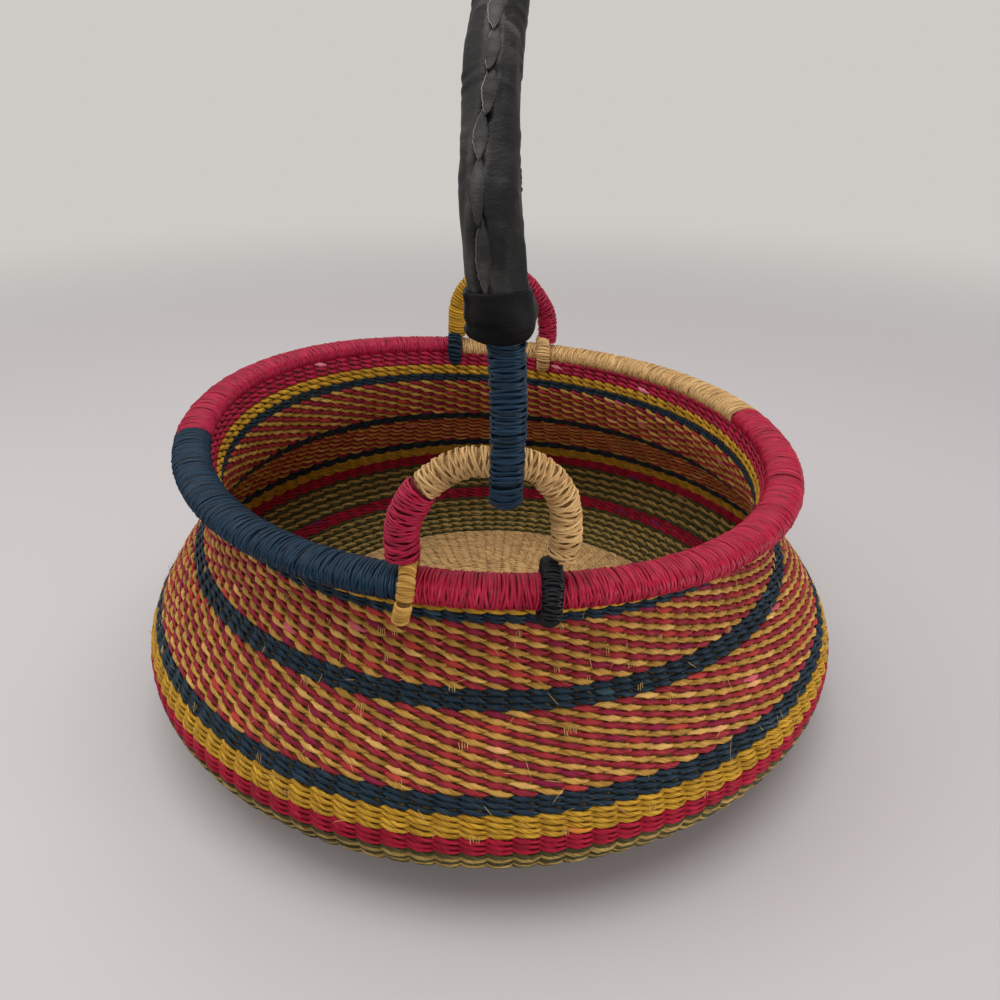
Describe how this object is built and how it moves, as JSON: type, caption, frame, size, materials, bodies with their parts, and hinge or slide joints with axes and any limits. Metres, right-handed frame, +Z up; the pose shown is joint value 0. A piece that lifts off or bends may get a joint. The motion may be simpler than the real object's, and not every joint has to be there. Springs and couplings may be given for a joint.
{
  "type": "round twined grass basket with swing handle",
  "caption": "Round market basket twined from coloured grass, with a wrapped rim, upright rim loops and a leather-covered handle that swings in them.",
  "frame": {"origin": "middle of the underside of the base, on the surface that the basket stands on", "axes": "+Z up; -Y towards the front rim loop and the picture's camera, +Y towards the back rim loop; +X to the right as seen from the front"},
  "size_m": [0.414, 0.414, 0.4391],
  "materials": {
    "mixed_weave": "dyed grass, yellow and red strands twined together",
    "navy_weave": "dyed grass, petrol blue",
    "yellow_weave": "dyed grass, ochre yellow",
    "pink_weave": "dyed grass, deep pink",
    "magenta_weave": "dyed grass, magenta over a yellow row",
    "olive_weave": "dyed grass, dark green and pale yellow rows in turn",
    "natural_weave": "undyed grass",
    "straw_core": "bundled straw",
    "red_wrap": "dyed grass wrap, crimson",
    "navy_wrap": "dyed grass wrap, petrol blue",
    "magenta_wrap": "dyed grass wrap, magenta",
    "natural_wrap": "undyed grass wrap",
    "yellow_wrap": "dyed grass wrap, ochre yellow",
    "leather": "charcoal leather, worn",
    "lace": "thin cut leather lace, charcoal with paler cut edges"
  },
  "bodies": {
    "basket": {"base_disc": "natural_weave", "olive_floor_ring": "olive_weave", "pink_floor_ring": "pink_weave", "olive_turn": "olive_weave", "pink_band": "pink_weave", "yellow_band": "yellow_weave", "lower_navy_band": "navy_weave", "lower_mixed_band": "mixed_weave", "upper_navy_band": "navy_weave", "upper_mixed_band": "mixed_weave", "neck_navy_row": "navy_weave", "neck_rows": "magenta_weave", "rim_core": "straw_core", "rim_wrap_red": "red_wrap", "rim_wrap_natural": "natural_wrap", "rim_wrap_magenta": "magenta_wrap", "rim_wrap_navy": "navy_wrap", "front_left_tie": "yellow_wrap", "front_right_tie": "navy_wrap", "back_left_tie": "navy_wrap", "back_right_tie": "natural_wrap", "front_loop_core": "straw_core", "front_loop_wrap_pink": "magenta_wrap", "front_loop_wrap_natural": "natural_wrap", "back_loop_core": "straw_core", "back_loop_wrap_yellow": "yellow_wrap", "back_loop_wrap_pink": "magenta_wrap"},
    "handle": {"handle_core": "straw_core", "front_eye_outer_wrap": "navy_wrap", "front_eye_inner_wrap": "navy_wrap", "back_eye_outer_wrap": "navy_wrap", "back_eye_inner_wrap": "navy_wrap", "leather_grip": "leather", "front_cuff": "leather", "back_cuff": "leather", "grip_lacing": "lace"}
  },
  "joints": [
    {"name": "handle_swing", "type": "hinge", "parent": "basket", "child": "handle", "pos_m": [0.00293, -0.00094, 0.1787], "axis": [0.0166, 0.9999, 0], "range_deg": [-90, 80]}
  ]
}
